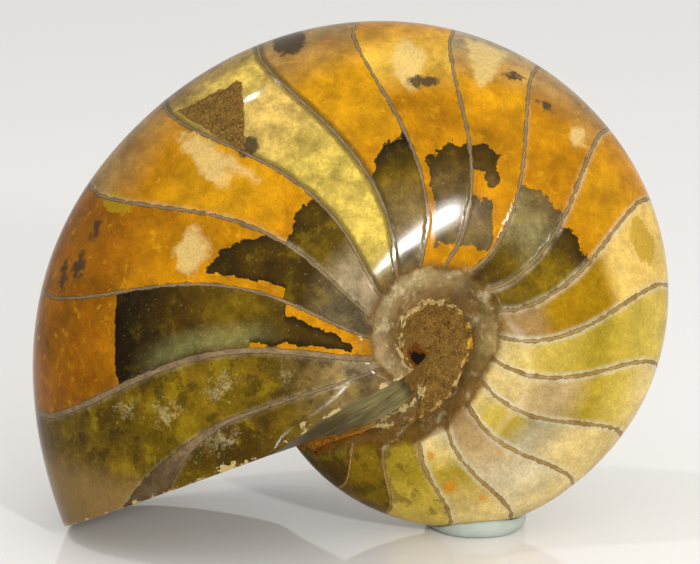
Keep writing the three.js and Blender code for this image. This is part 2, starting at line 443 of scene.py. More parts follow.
# Chambers whose filling ends at a torn edge: radius of the edge at the younger wall, in the middle and at the
# older wall, how dark the stone goes just inside it, and the iron-stained stone beyond it.
RUST = ((50, "ochre"), (62, "rust"))
TORN_EDGES = {
    2: ((58.5, 58.5, 58.7), 1.0, RUST),
    3: ((45, 42.5, 36), 0.8, RUST),
    4: ((33, 34, 34.5), 0.55, ((32, "ochre"), (44, "amber"), (54, "amber"), (60, "ochre"), (68, "tan"))),
    6: ((31.5, 37, 38), 0.75, ((30, "ochre"), (44, "amber"), (52, "amber"), (60, "tan"))),
    7: ((32, 35, 36.5), 0.4, ((45, "ochre"), (52, "yellow"), (60, "ochre"))),
    8: ((28, 27, 18), 0.4, ((40, "ochre"), (48, "amber"), (56, "grey"))),
    9: ((32.5, 33, 32.5), 0.5, ((46, "ochre"), (52, "tan"))),
    10: ((31, 32, 31), 0.6, ((30, "ochre"), (42, "amber"), (50, "ochre"))),
}
# The edge of the second chamber is straighter than the others.
STRAIGHT_EDGES = {2: 3}
# The far flank was worked to another depth, so its edges and spots lie a little elsewhere.
FAR_EDGE_SHIFT, FAR_EDGE_TURN, FAR_SPOT_TURN = 4, 2.1, 11

fill = np.zeros(angle.shape + (3,))
outer_fill = np.zeros(angle.shape + (3,))
edge_shade = np.zeros(angle.shape)
torn = np.full(angle.shape, NOWHERE)
for number, stops in CHAMBERS.items():
    here = chamber == number
    fill[here] = tint_along(radius[here], stops)
for number, (edge, darkness, stops) in TORN_EDGES.items():
    here = chamber == number
    outer_fill[here] = tint_along(radius[here], stops)
    edge_shade[here] = darkness
    shift = np.where(far_side[here], FAR_EDGE_SHIFT * np.sin(FAR_EDGE_TURN * number), 0)
    line = np.interp(older_share[here], (0, 0.5, 1), edge) + shift
    torn[here] = (radius[here] - line) * STRAIGHT_EDGES.get(number, 1)

# Grey-green bloom near the younger wall of the second chamber, but not right beside it.
BLOOM, BLOOM_MOST = stone_colour("#706E40"), 0.65
bloom_share = ease(6.5, 2.5, from_younger) * ease(0.2, 1.8, from_younger)
bloom_share = bloom_share * ease(26, 34, radius) * ease(56, 49, radius)
bloom_share = np.where(chamber == 2, BLOOM_MOST * bloom_share, 0)
fill = blend(fill, BLOOM, bloom_share[..., None])
before_mouth = (chamber == 1) & (angle > first_wall)
fill[before_mouth] = tint_along(radius[before_mouth], BEFORE_MOUTH)


def ochre_heel(number, younger_end, older_end):
    """Ochre at the navel end of a chamber."""
    here = chamber == number
    torn[here] = np.maximum(torn[here], blend(younger_end, older_end, older_share[here]) - radius[here])


def ochre_strip(number, from_wall, width, start, end):
    """A thin run of ochre along one wall of a chamber."""
    here = (chamber == number) & (radius > start) & (radius < end)
    torn[here] = np.maximum(torn[here], 2 * (width - from_wall[here]))


ochre_heel(2, 14, 16)
ochre_heel(7, 16, 18.5)
ochre_heel(8, 18, 19)
ochre_strip(2, from_older, 2.0, 12, 29)
ochre_strip(2, from_younger, 1.3, 12, 34)
ochre_strip(3, from_younger, 2.2, 28, 46)
ochre_strip(7, from_younger, 1.4, 16, 33)


def patch(*spots):
    """Depth inside oval spots: radius and angle of the middle, half length outwards and sideways."""
    depth = np.full(angle.shape, NOWHERE)
    for middle, at, outwards, sideways in spots:
        off_angle = angle - at - np.where(far_side, FAR_SPOT_TURN, 0)
        off = np.hypot((radius - middle) / outwards, np.radians(off_angle) * radius / sideways)
        depth = np.maximum(depth, (1 - off) * min(outwards, sideways))
    return depth


pale_spots = patch(
    (47.4, 520, 2.8, 4.0),
    (54.8, 501, 4.8, 2.4),
    (50.3, 503.2, 2.8, 1.8),
    (47.2, 498.6, 3.0, 0.5),
    (51.2, 455.5, 4.5, 3),
    (46.2, 414.5, 1.8, 1.6),
)
frost_spots = patch(
    (43.6, 565, 7, 3), (27.2, 554.5, 2.5, 3.5), (50.7, 555.3, 4, 4), (58, 553, 3, 4), (40, 552, 5, 4)
)
slate_spots = patch(
    (67, 528.4, 1.0, 2.2),
    (65.8, 522.2, 0.9, 1.8),
    (69.7, 530.4, 0.8, 2.8),
    (47.6, 452.5, 1.2, 2.6),
    (47.7, 424.5, 0.7, 1.6),
    (51, 433, 0.8, 1.8),
    (62, 476, 3, 3),
    (49, 494, 1.6, 2.2),
)
orange_spots = patch((21.6, 268.1, 0.8, 0.9), (27.6, 275.5, 1, 1.3), (24, 300, 0.6, 0.6), (31, 287, 0.7, 0.7))
mustard_spots = patch((42.9, 385.0, 2.1, 4.6), (64, 517, 3, 2))
plug_hole = patch((4.6, 588, 1.2, 2.0))
# Islands of dark stone in the ochre of the eighth chamber.
islands = patch((34.4, 435.5, 2.6, 3.2), (31.5, 431, 1.6, 1.4))
torn = np.where(chamber == 8, np.minimum(torn, -2 * islands), torn)

flat = np.stack([radius * cosine(angle), radius * sine(angle)], -1)


def plane_point(at_radius, at_angle):
    """A point of the flank as seen along the coil axis."""
    return np.array([at_radius * cosine(at_angle), at_radius * sine(at_angle)])


def inside(*outline):
    """Depth inside a convex outline drawn on the flank."""
    depth = np.full(angle.shape, FAR)
    middle = np.mean(outline, 0)
    for a, b in zip(outline, outline[1:] + outline[:1]):
        normal = np.array([a[1] - b[1], b[0] - a[0]]) / np.hypot(*(b - a))
        normal *= np.sign(np.dot(middle - a, normal))
        depth = np.minimum(depth, (flat - a) @ normal)
    return depth


def from_line(line, points):
    """Distance of points on the flank from a bent line."""
    nearest = np.full(points.shape[:-1], FAR)
    for a, b in zip(line, line[1:]):
        share = np.clip((points - a) @ (b - a) / np.dot(b - a, b - a), 0, 1)
        nearest = np.minimum(nearest, np.linalg.norm(points - a - share[..., None] * (b - a), axis=-1))
    return nearest


# A cream triangle under the venter of the eighth chamber.
cream_corner = inside(np.array((5.4, 56.5)), np.array((13.8, 53.4)), np.array((8.0, 45.6)))
pale_spots = np.maximum(pale_spots, np.where(chamber == 8, cream_corner, NOWHERE))

# Mud: a triangle in the fifth chamber, and the plug of the navel, whose tail stops short of the seam.
TAIL_END = 257
# Past the plug and past the navel wall, one whole run of rows counts as so many millimetres.
PLUG_ROWS_MM, WALL_ROWS_MM = 30, 60
mud_pocket = inside(plane_point(48.5, 495.5), plane_point(63.5, 498.5), plane_point(60, 486.5))
mud_pocket = np.where((chamber == 5) & ~far_side, mud_pocket, NOWHERE)
plug_depth = np.where(row < PLUG_ROW, plug_radius(angle) - radius, (PLUG_ROW - row) * PLUG_ROWS_MM)
plug_depth = np.minimum(plug_depth, np.radians(angle - TAIL_END) * radius)
mud = np.maximum(mud_pocket, plug_depth)

# Crust: on the rim of the plug, along the seam, and as pale crumbs where the sawn strip meets the mud.
RIM_CRUST_AT = (225, 300, 330, 345, 380, 400, 440, 560, 590)
RIM_CRUST_WIDTH = (0.3, 0.2, -0.3, 0.3, 0.3, -0.3, 0.4, 0.4, 0.1)
SEAM_BAND, SEAM_CRUST_WIDTH, SAWN_CRUST_WIDTH = 9, 2.0, 4.0
CREVICE_AT, CREVICE_WIDTH, CREVICE_END = 2.4, 0.5, 31
CRUMB_LINE, CRUMB_WIDTH = np.array([(-10.4, -15.4), (-5.7, -12.8), (-2.8, -10.8), (-2.6, -9.3)]), 0.45
CRUMB_COLOUR, SEAM_RUST = stone_colour("#A8935E"), stone_colour("#8A5A12")


def seam_tint(at):
    """Along the seam the crust is pale beside the plug and rusty outside."""
    return blend(CRUMB_COLOUR, SEAM_RUST, ease(17, 23, at)[..., None])


rim_crust = np.interp(angle, RIM_CRUST_AT, RIM_CRUST_WIDTH) - np.abs(radius - plug_radius(angle))
from_seam = np.where(chamber == OLDEST, (1 - older_share) * SEAM_BAND, FAR)
seam_crust = np.where(row > PLUG_ROW, SEAM_CRUST_WIDTH - from_seam, NOWHERE)
crumbs = CRUMB_WIDTH - from_line(CRUMB_LINE, flat)
crust = np.maximum(np.maximum(rim_crust, seam_crust), np.where(far_side, NOWHERE, crumbs))
crust_colour = tint_along(angle, ((245, "#9A6A1C"), (300, "#AE9258"), (365, "#B8860E"), (420, "#B0965F")))
crust_colour = np.where((from_seam < 2 * SEAM_CRUST_WIDTH)[..., None], seam_tint(radius), crust_colour)
crust_colour = np.where((crumbs > -1.5)[..., None], CRUMB_COLOUR, crust_colour)
# The crevice under the seam crust and the hole in the plug are painted dark inside: painted shadow.
crevice_shadow = CREVICE_WIDTH - np.abs(from_seam - CREVICE_AT)
crevice_shadow = np.where((row > PLUG_ROW) & (radius < CREVICE_END), crevice_shadow, NOWHERE)
pocket = np.maximum(plug_hole, crevice_shadow)

# The navel wall. Beside the oldest chambers its edge is scalloped.
SCALLOPED_FROM, SCALLOP = 15, 1.4
navel_wall = np.where(row < WALL_ROW, shoulder_radius(angle) - radius, (WALL_ROW - row) * WALL_ROWS_MM)
navel_wall += np.where(chamber >= SCALLOPED_FROM, SCALLOP * (0.4 - np.sin(np.pi * older_share)), 0)
navel_colour = tint_along(
    angle,
    (
        (225, "#6A4E22"),
        (322, "#6E5228"),
        (360, "#96804E"),
        (405, "#5C441A"),
        (460, "#9A865A"),
        (520, "#806A46"),
        (600, "#8A7650"),
    ),
)

# The lip: tan towards its tip, chipped along the sawn edge.
LAST_CHAMBER_DEGREES = 28
lip_middle, lip_tip = plane_point(70.5, 559.5), plane_point(77.9, 567)
lip_way = (lip_tip - lip_middle) / np.hypot(*(lip_tip - lip_middle))
lip = np.where(chamber == 1, (flat - lip_middle) @ lip_way, NOWHERE)
from_mouth = np.where(chamber == 1, np.radians(older_share * LAST_CHAMBER_DEGREES) * radius, FAR)

# How pale (above 0) or dark (below 0) the stone goes beside the younger and the older wall of each chamber.
WALL_SIDES = {
    1: (0.3, 0.3),
    2: (0.2, 0),
    4: (0.4, 0),
    5: (-1.0, -1.0),
    6: (-1.0, 0),
    9: (0.3, 0.4),
    10: (0.6, 0.6),
    17: (0.35, 0.25),
    18: (0.15, 0.1),
    19: (0, 0),
}
CALM_FROM, CALM_WALL_SIDE, CALM_CLOUDS = 11, 0.75, 0.5
beside_wall = np.zeros(angle.shape)
for number in CHAMBERS:
    here = chamber == number
    usual = CALM_WALL_SIDE if number >= CALM_FROM else 0
    younger_side, older_side = WALL_SIDES.get(number, (usual, usual))
    beside_wall[here] = np.where(older_share[here] < 0.5, younger_side, older_side)
# The second chamber stays dark beside its walls near the navel.
beside_wall = np.where((chamber == 2) & (radius < 36), 0.1, beside_wall)

# The youngest wall flares towards the lip and darkens there.
WALL_TINTS = ((1, "#7E684A"), (8, "#84704C"), (12, "#9A7A42"), (18, "#9A763C"))
flare = np.where(count < 1.5, ease(46, 56, radius), 0)
wall_colour = blend(tint_along(chamber, WALL_TINTS), stone_colour("#54422A"), flare[..., None])
wall_extra = np.where(count < 1.5, 0.45 * ease(34, 50, radius) + 2.4 * ease(46, 64, radius), 0)
wall_extra = np.where(np.abs(count - 2) < 0.5, 0.25, wall_extra)

# The fillings of the older chambers are calmer. Some chambers hold dark and mossy flakes.
cloudy = np.where(chamber >= CALM_FROM, CALM_CLOUDS, 1.0)
FLAKY = {1: 0.6, 2: 0.15, 3: 0.3, 4: 0.35, 6: 0.25, 7: 0.25, 9: 0.3, 10: 0.4, 17: 0.5, 18: 0.5, 19: 0.5}
flaky = np.zeros(angle.shape)
for number, share in FLAKY.items():
    flaky[chamber == number] = share


def with_mouth(values, on_mouth):
    """The whorl's values followed by the sawn mouth's."""
    shape = (bands, mouth_faces, 4) + values.shape[3:]
    return np.concatenate([values, np.broadcast_to(on_mouth, shape)], 1)


# The sawn face. Beside the navel it shows as a strip.
mouth_row = corners(full_rows[:, None] + np.zeros(mouth_faces + 1))
mouth_back = corners(np.linspace(0, 1, mouth_faces + 1)[None] + np.zeros((bands + 1, 1)))
sawn_points = np.concatenate([grid[:, whorl_faces:], grid[:, :1]], 1)
sawn_length = np.linalg.norm(sawn_points[:, -1] - sawn_points[:, 0], axis=-1)
sawn_length = corners(sawn_length[:, None] + np.zeros(mouth_faces + 1))
from_lip, to_seam = mouth_back * sawn_length, (1 - mouth_back) * sawn_length
strip_points = np.concatenate([flat_grid[:, whorl_faces:], flat_grid[:, :1]], 1)
sawn_flat = np.stack([corners(strip_points[..., axis]) for axis in (0, 1)], -1)
# Mud of the plug lies over the inner end of the strip, past a line square to it.
STRIP_WAY, STRIP_END = np.array([0.8, 0.6]), -9.0
sawn_along = corners(strip_points @ STRIP_WAY)
sawn_mud = np.where(mouth_row < WALL_ROW, sawn_along - STRIP_END, NOWHERE)
# The strip is painted paler towards its inner end, as painted light: its outer end lies in shade. The inner
# end has a dark edge.
sawn_fill = tint_along(mouth_row, ((0.6, "ground"), (0.75, "olive")))
sawn_fill = blend(sawn_fill, stone_colour("lit_khaki"), ease(-26, -15, sawn_along)[..., None])
sawn_fill = blend(sawn_fill, stone_colour("black"), 0.7 * ease(-10.8, -9.6, sawn_along)[..., None])
# The wall of the shell shows as a tan rim round the outer part of the sawn face.
rim_share = ease(1.7, 1.0, from_lip) * ease(0.55, 0.62, mouth_row)
sawn_fill = blend(sawn_fill, stone_colour("tan"), rim_share[..., None])
sawn_crust = np.where(mouth_row > PLUG_ROW, SAWN_CRUST_WIDTH - to_seam, NOWHERE)
sawn_crumbs = CRUMB_WIDTH - from_line(CRUMB_LINE, sawn_flat)
sawn_crust = np.maximum(sawn_crust, np.where(near_band[:, None, None], sawn_crumbs, NOWHERE))
seam_radius = corners(whole(row_radius(rows, seam)[:, None]) + np.zeros(mouth_faces + 1))

fields = {
    "torn_mm": with_mouth(torn, NOWHERE),
    "wall_count": with_mouth(count, 0.5),
    "chamber_mm": with_mouth(chamber_mm, 20),
    "pale_mm": with_mouth(pale_spots, NOWHERE),
    "slate_mm": with_mouth(slate_spots, NOWHERE),
    "orange_mm": with_mouth(orange_spots, NOWHERE),
    "mustard_mm": with_mouth(mustard_spots, NOWHERE),
    "mud_mm": with_mouth(mud, sawn_mud),
    "crust_mm": with_mouth(crust, sawn_crust),
    "navel_mm": with_mouth(navel_wall, NOWHERE),
    "lip_mm": with_mouth(lip, NOWHERE),
    "sawn": with_mouth(0 * lip, 1),
    "cloudy": with_mouth(cloudy, 0.6),
    "wide_mm": with_mouth(wall_extra, 0),
    "flaky": with_mouth(flaky, 0.3),
    "edge_mm": with_mouth(from_mouth, from_lip),
    "frost_mm": with_mouth(frost_spots, NOWHERE),
    "edge_shade": with_mouth(edge_shade, 0),
    "hole_shadow_mm": with_mouth(pocket, NOWHERE),
    "pale_side": with_mouth(np.maximum(beside_wall, 0), 0),
    "dark_side": with_mouth(np.maximum(-beside_wall, 0), 0),
}
# The sawn face shows no torn edge, no chamber wall and no navel wall, so those colours are left black there.
colours = {
    "fill": with_mouth(fill, sawn_fill),
    "outer_fill": with_mouth(outer_fill, 0),
    "crust_colour": with_mouth(crust_colour, seam_tint(seam_radius)),
    "wall_colour": with_mouth(wall_colour, 0),
    "navel_colour": with_mouth(navel_colour, 0),
}


def build_shell():
    """The closed mesh: one point at each end of the coil axis and rings of columns between."""
    columns = grid.shape[1]
    points = [grid[0, 0], grid[-1, 0]] + list(grid[1:-1].reshape(-1, 3))
    numbers = np.zeros((bands + 1, columns), int)
    numbers[1:-1] = 2 + np.arange((bands - 1) * columns).reshape(bands - 1, columns)
    numbers[-1] = 1
    faces = corners(np.concatenate([numbers, numbers[:, :1]], 1))

    def in_face_order(values):
        """First the fan at the near end of the axis, then the rings, then the fan at the far end."""
        tip, rings, root = values[0][:, [0, 1, 2]], values[1:-1], values[-1][:, [0, 1, 3]]
        parts = [tip.reshape((-1,) + values.shape[3:]), rings.reshape((-1,) + values.shape[3:])]
        return np.concatenate(parts + [root.reshape((-1,) + values.shape[3:])])

    triangles = faces[0][:, [0, 1, 2]].tolist()
    quads = faces[1:-1].reshape(-1, 4).tolist()
    last = faces[-1][:, [0, 1, 3]].tolist()
    mesh = bpy.data.meshes.new("fossil_stone")
    mesh.from_pydata([tuple(p * MM) for p in points], [], triangles + quads + last)
    mesh.shade_smooth()
    for name, values in fields.items():
        layer = mesh.attributes.new(name, "FLOAT", "CORNER")
        layer.data.foreach_set("value", in_face_order(np.ascontiguousarray(values)).astype(np.float32))
    for name, values in colours.items():
        layer = mesh.attributes.new(name, "FLOAT_COLOR", "CORNER")
        tinted = in_face_order(np.concatenate([values, np.ones(values.shape[:-1] + (1,))], -1))
        layer.data.foreach_set("color", tinted.astype(np.float32).ravel())
    piece = bpy.data.objects.new("fossil_stone", mesh)
    bpy.context.scene.collection.objects.link(piece)
    return piece


# Materials

SMOOTH, MIX_COLOURS = {"interpolation_type": "SMOOTHSTEP"}, {"data_type": "RGBA"}
# Places of the share, the two colours and the result on a node that mixes colours.
SHARE, UNDER, OVER, MIXED = 0, 6, 7, 2


def put(tree, kind, settings=None, inputs=None, output=0):
    """Adds a shader node, sets its settings, and sets or links its inputs. Returns one of its outputs."""
    made = tree.nodes.new("ShaderNode" + kind)
    for name, value in (settings or {}).items():
        setattr(made, name, value)
    for name, value in (inputs or {}).items():
        if isinstance(value, bpy.types.NodeSocket):
            tree.links.new(value, made.inputs[name])
        else:
            made.inputs[name].default_value = value
    return made.outputs[output]


def new_material(name):
    material = bpy.data.materials.new(name)
    material.use_nodes = True
    return material, material.node_tree, material.node_tree.nodes["Principled BSDF"]


def rgba(code):
    return (*hex_colour(code), 1)


def polished_calcite():
    """Calcite grown in the chambers of a shell, sawn, ground and polished: deep cloudy colour under gloss."""
    material, tree, shader = new_material("polished_calcite")
    place = put(tree, "TexCoord", output="Object")
    mm = put(tree, "VectorMath", {"operation": "SCALE"}, {"Vector": place, "Scale": 1 / MM})
    field = {n: put(tree, "Attribute", {"attribute_name": n}, output="Fac") for n in fields}
    tint = {n: put(tree, "Attribute", {"attribute_name": n}, output="Color") for n in colours}
    # Lumps of the filling: how many millimetres across, how many finer sizes they hold, how strong those are.
    # They are drawn coarser than the grain of the stone, so that they show.
    lumps = (
        ("torn", 3.2, 6, 0.62),
        ("cloud", 9, 4, 0.6),
        ("bloom", 4.2, 5, 0.62),
        ("mottle", 1.6, 4, 0.6),
        ("grit", 0.45, 2, 0.5),
    )
    grain = {
        name: put(
            tree,
            "TexNoise",
            inputs={"Vector": mm, "Scale": 1 / size, "Detail": detail, "Roughness": harsh},
        )
        for name, size, detail, harsh in lumps
    }

    def stain(base, colour, value, low, high, most=1.0):
        """Lays a colour over the stone where a value passes from low to high."""
        share = put(
            tree,
            "MapRange",
            SMOOTH,
            {"Value": value, "From Min": low, "From Max": high, "To Max": most},
        )
        return put(tree, "Mix", MIX_COLOURS, {SHARE: share, UNDER: base, OVER: colour}, MIXED)

    def shade(base, value, dark, light):
        """Lets the stone go from dark to light, as shares of its colour, with the lumps."""
        share = put(
            tree,
            "MapRange",
            inputs={"Value": value, "From Min": 0.3, "From Max": 0.7, "To Min": dark, "To Max": light},
        )
        return put(tree, "VectorMath", {"operation": "SCALE"}, {"Vector": base, "Scale": share})

    def ragged(name, lump, reach):
        """Depth inside a patch, its outline torn by this many millimetres."""
        swing = {0: grain[lump], 1: 4 * reach, 2: -2 * reach}
        tear = put(tree, "Math", {"operation": "MULTIPLY_ADD"}, swing)
        return put(tree, "Math", {"operation": "ADD"}, {0: field[name], 1: tear})

    # Calcite inside the torn edge: cloudy, with lighter mottling and frosty specks.
    inner = shade(tint["fill"], grain["cloud"], 0.6, 1.32)
    inner = shade(inner, grain["bloom"], 0.62, 1.34)
    inner = shade(inner, grain["mottle"], 0.75, 1.22)
    inner = put(tree, "Mix", MIX_COLOURS, {SHARE: field["cloudy"], UNDER: tint["fill"], OVER: inner}, MIXED)
    inner = stain(inner, rgba("#2C1F06"), grain["torn"], 0.52, 0.6, field["flaky"])
    inner = stain(inner, rgba("#7C680C"), grain["bloom"], 0.55, 0.66, field["flaky"])
    inner = stain(inner, rgba("#BDAE82"), grain["grit"], 0.66, 0.78, 0.2)
    torn = ragged("torn_mm", "torn", 1.75)
    rim = put(tree, "MapRange", SMOOTH, {"Value": torn, "From Min": -3.6, "From Max": -0.1, "To Max": 0.8})
    rim = put(tree, "Math", {"operation": "MULTIPLY"}, {0: rim, 1: field["edge_shade"]})
    inner = put(tree, "Mix", MIX_COLOURS, {SHARE: rim, UNDER: inner, OVER: rgba("#1A1102")}, MIXED)

    # Iron-stained calcite beyond the edge: honey clouds and brown freckles.
    outer = shade(tint["outer_fill"], grain["cloud"], 0.66, 1.3)
    outer = shade(outer, grain["bloom"], 0.7, 1.25)
    outer = stain(outer, rgba("#DCA21C"), grain["mottle"], 0.55, 0.72, 0.4)
    outer = stain(outer, rgba("#8C4C04"), grain["torn"], 0.53, 0.68, 0.45)
    outer = stain(outer, rgba("#6E3C06"), grain["grit"], 0.63, 0.73, 0.55)
    beyond = put(tree, "MapRange", inputs={"Value": torn, "From Min": -0.1, "From Max": 0.1})
    stone = put(tree, "Mix", MIX_COLOURS, {SHARE: beyond, UNDER: inner, OVER: outer}, MIXED)

    # Patches: field, lump that tears the outline, by how many millimetres, softness, colour, strength.
    for name, lump, reach, soft, colour, most in (
        ("pale_mm", "torn", 1.3, 0.8, "#CDB270", 0.7),
        ("mustard_mm", "mottle", 0.8, 0.3, "#9E7E10", 0.75),
        ("slate_mm", "mottle", 0.8, 0.35, "#3A3020", 0.9),
        ("orange_mm", "mottle", 0.7, 0.4, "#B87606", 0.75),
        ("lip_mm", "bloom", 1.0, 3.0, "#83673A", 0.8),
    ):
        stone = stain(stone, rgba(colour), ragged(name, lump, reach), -soft, soft, most)
    frost = put(tree, "Math", {"operation": "MULTIPLY_ADD"}, {0: grain["mottle"], 1: 10, 2: -5})
    frost = put(tree, "Math", {"operation": "ADD"}, {0: frost, 1: field["frost_mm"]})
    frost = put(tree, "Math", {"operation": "MULTIPLY_ADD"}, {0: grain["grit"], 1: 5, 2: frost})
    stone = stain(stone, rgba("#A8986A"), frost, 3.4, 7.6, 0.6)

    # Chamber walls: a grey-brown line with dark edges, paler or darker stone beside it.
    nearest = put(tree, "Math", {"operation": "ROUND"}, {0: field["wall_count"]})
    line = put(tree, "Math", {"operation": "SUBTRACT"}, {0: field["wall_count"], 1: nearest})
    line = put(tree, "Math", {"operation": "ABSOLUTE"}, {0: line})
    waver = put(tree, "Math", {"operation": "MULTIPLY_ADD"}, {0: grain["mottle"], 1: 1.1, 2: -0.55})
    waver = put(tree, "Math", {"operation": "SUBTRACT"}, {0: waver, 1: field["wide_mm"]})
    line = put(tree, "Math", {"operation": "MULTIPLY_ADD"}, {0: line, 1: field["chamber_mm"], 2: waver})
    beside = put(tree, "MapRange", SMOOTH, {"Value": line, "From Min": 1.7, "From Max": 0.5})
    for name, colour, most in (("pale_side", "#B4AC90", 0.65), ("dark_side", "#3C3410", 0.7)):
        bloom = put(tree, "Math", {"operation": "MULTIPLY"}, {0: beside, 1: field[name]})
        bloom = put(tree, "Math", {"operation": "MULTIPLY"}, {0: bloom, 1: grain["bloom"]})
        bloom = put(tree, "Math", {"operation": "MULTIPLY"}, {0: bloom, 1: grain["mottle"]})
        stone = stain(stone, rgba(colour), bloom, 0.02, 0.28, most)
    edge = put(tree, "VectorMath", {"operation": "SCALE"}, {"Vector": tint["wall_colour"], "Scale": 0.3})
    stone = stain(stone, edge, line, 0.42, 0.3, 0.9)
    core = shade(shade(tint["wall_colour"], grain["mottle"], 0.65, 1.35), grain["bloom"], 0.7, 1.2)
    stone = stain(stone, core, line, 0.28, 0.16, 0.9)

    # Navel: milky brown wall, tinted round the coil. Deep down beside the mud it turns an even mid brown,
    # mostly darker than the ring above: painted shade in the funnel.
    depth = ragged("navel_mm", "bloom", 0.9)
    wall = stain(rgba("#664618"), tint["navel_colour"], depth, 0.2, 1.6)
    # Painted shade deep in the funnel, beside the mud.
    wall = stain(wall, rgba("#6C5028"), depth, 2.4, 5.2, 0.85)
    wall = shade(wall, grain["bloom"], 0.7, 1.3)
    wall = shade(wall, grain["mottle"], 0.8, 1.2)
    wall = stain(wall, rgba("#BEB08A"), grain["torn"], 0.53, 0.7, 0.6)
    navel = put(tree, "MapRange", inputs={"Value": depth, "From Min": -0.7, "From Max": 0.7, "To Max": 0.94})
    stone = put(tree, "Mix", MIX_COLOURS, {SHARE: navel, UNDER: stone, OVER: wall}, MIXED)

    # Lighter and darker streaks along the sawn strip, and no last polish there. They are 7 mm long and 0.5
    # mm wide, coarser than real ones, so that they show.
    along_strip = put(
        tree,
        "Mapping",
        {"vector_type": "TEXTURE"},
        {"Vector": mm, "Rotation": (0, np.radians(-37), 0), "Scale": (7, 3, 0.5)},
    )
    strip_streaks = put(
        tree,
        "TexNoise",
        inputs={"Vector": along_strip, "Scale": 1, "Detail": 4, "Roughness": 0.65},
    )
    streaked = shade(stone, strip_streaks, 0.55, 1.5)
    stone = put(tree, "Mix", MIX_COLOURS, {SHARE: field["sawn"], UNDER: stone, OVER: streaked}, MIXED)

    # Cream chips along the sawn edge.
    chip = put(tree, "Math", {"operation": "MULTIPLY_ADD"}, {0: grain["torn"], 1: 12, 2: -6.4})
    chip = put(tree, "Math", {"operation": "SUBTRACT"}, {0: chip, 1: field["edge_mm"]})
    stone = stain(stone, rgba("#BCA46C"), chip, -0.2, 0.3, 0.8)

    # Hard mud: brown, with paler grains of sand 0.6 mm across.
    sand = put(tree, "TexVoronoi", inputs={"Vector": mm, "Scale": 1 / 0.6}, output="Distance")
    mud = shade(hex_colour("#725422"), grain["mottle"], 0.66, 1.34)
    mud = stain(mud, rgba("#B09660"), sand, 0.3, 0.1, 0.5)
    mud = stain(mud, rgba("#33240F"), grain["grit"], 0.4, 0.3, 0.7)
    muddy = ragged("mud_mm", "mottle", 0.5)
    muddy = put(tree, "MapRange", inputs={"Value": muddy, "From Min": -0.12, "From Max": 0.12})
    stone = put(tree, "Mix", MIX_COLOURS, {SHARE: muddy, UNDER: stone, OVER: mud}, MIXED)

    # Crevice and hole: a rusty rim, which is the stone's own stain, round a near-black core that is painted
    # shadow.
    hole_shadow_depth = ragged("hole_shadow_mm", "mottle", 0.6)
    stone = stain(stone, rgba("#6A3A06"), hole_shadow_depth, -0.7, -0.3)
    stone = stain(stone, rgba("#160E04"), hole_shadow_depth, 0.0, 0.4)

    # Crust of small crystals.
    crust = shade(tint["crust_colour"], grain["mottle"], 0.5, 1.35)
    crusted = ragged("crust_mm", "mottle", 1.1)
    crusted = put(tree, "MapRange", inputs={"Value": crusted, "From Min": -0.1, "From Max": 0.2})
    stone = put(tree, "Mix", MIX_COLOURS, {SHARE: crusted, UNDER: stone, OVER: crust}, MIXED)

    # Mud and crust took no polish. The walls of the chambers stand a hair proud of the filling.
    rough = put(tree, "Math", {"operation": "MAXIMUM"}, {0: muddy, 1: crusted})
    grains = put(tree, "Math", {"operation": "ADD"}, {0: grain["mottle"], 1: sand})
    grains = put(tree, "Math", {"operation": "MULTIPLY"}, {0: grains, 1: rough})
    ridge = put(tree, "MapRange", SMOOTH, {"Value": line, "From Min": 0.9, "From Max": 0.2, "To Max": 0.12})
    relief = put(tree, "Math", {"operation": "ADD"}, {0: grains, 1: ridge})
    bump = put(tree, "Bump", inputs={"Strength": 0.8, "Distance": 0.4 * MM, "Height": relief})
    polish = put(tree, "MapRange", inputs={"Value": field["sawn"], "To Min": 0.1, "To Max": 0.4})
    polish = put(tree, "MapRange", inputs={"Value": rough, "To Min": polish, "To Max": 0.85})
    stone = shade(stone, grain["grit"], 0.86, 1.14)
    tree.links.new(stone, shader.inputs["Base Color"])
    tree.links.new(polish, shader.inputs["Roughness"])
    tree.links.new(bump, shader.inputs["Normal"])
    # The mirror image is weaker than on a fresh polish, so the pale room doesn't wash out the stone.
    shader.inputs["IOR"].default_value = 1.57
    shader.inputs["Specular IOR Level"].default_value = 0.085
    return material


def pressed_putty():
    """Grey-green putty pressed flat by hand: matte, with faint dents and fine grain."""
    material, tree, shader = new_material("pressed_putty")
    place = put(tree, "TexCoord", output="Object")
    mm = put(tree, "VectorMath", {"operation": "SCALE"}, {"Vector": place, "Scale": 1 / MM})
    dents = put(tree, "TexNoise", inputs={"Vector": mm, "Scale": 1 / 3.5, "Detail": 4})
    grain = put(tree, "TexNoise", inputs={"Vector": mm, "Scale": 1 / 0.5, "Detail": 2})
    # The tone follows the dents, darker in the hollows and lighter on the rises: painted shade.
    dark, light = rgba("#8E978E"), rgba("#B3BAB0")
    dent_shaded_tone = put(tree, "Mix", MIX_COLOURS, {SHARE: dents, UNDER: dark, OVER: light}, MIXED)
    height = put(tree, "Math", {"operation": "MULTIPLY_ADD"}, {0: grain, 1: 0.25, 2: dents})
    bump = put(tree, "Bump", inputs={"Strength": 0.5, "Distance": 0.3 * MM, "Height": height})
    tree.links.new(dent_shaded_tone, shader.inputs["Base Color"])
    tree.links.new(bump, shader.inputs["Normal"])
    shader.inputs["Roughness"].default_value = 0.6
    return material


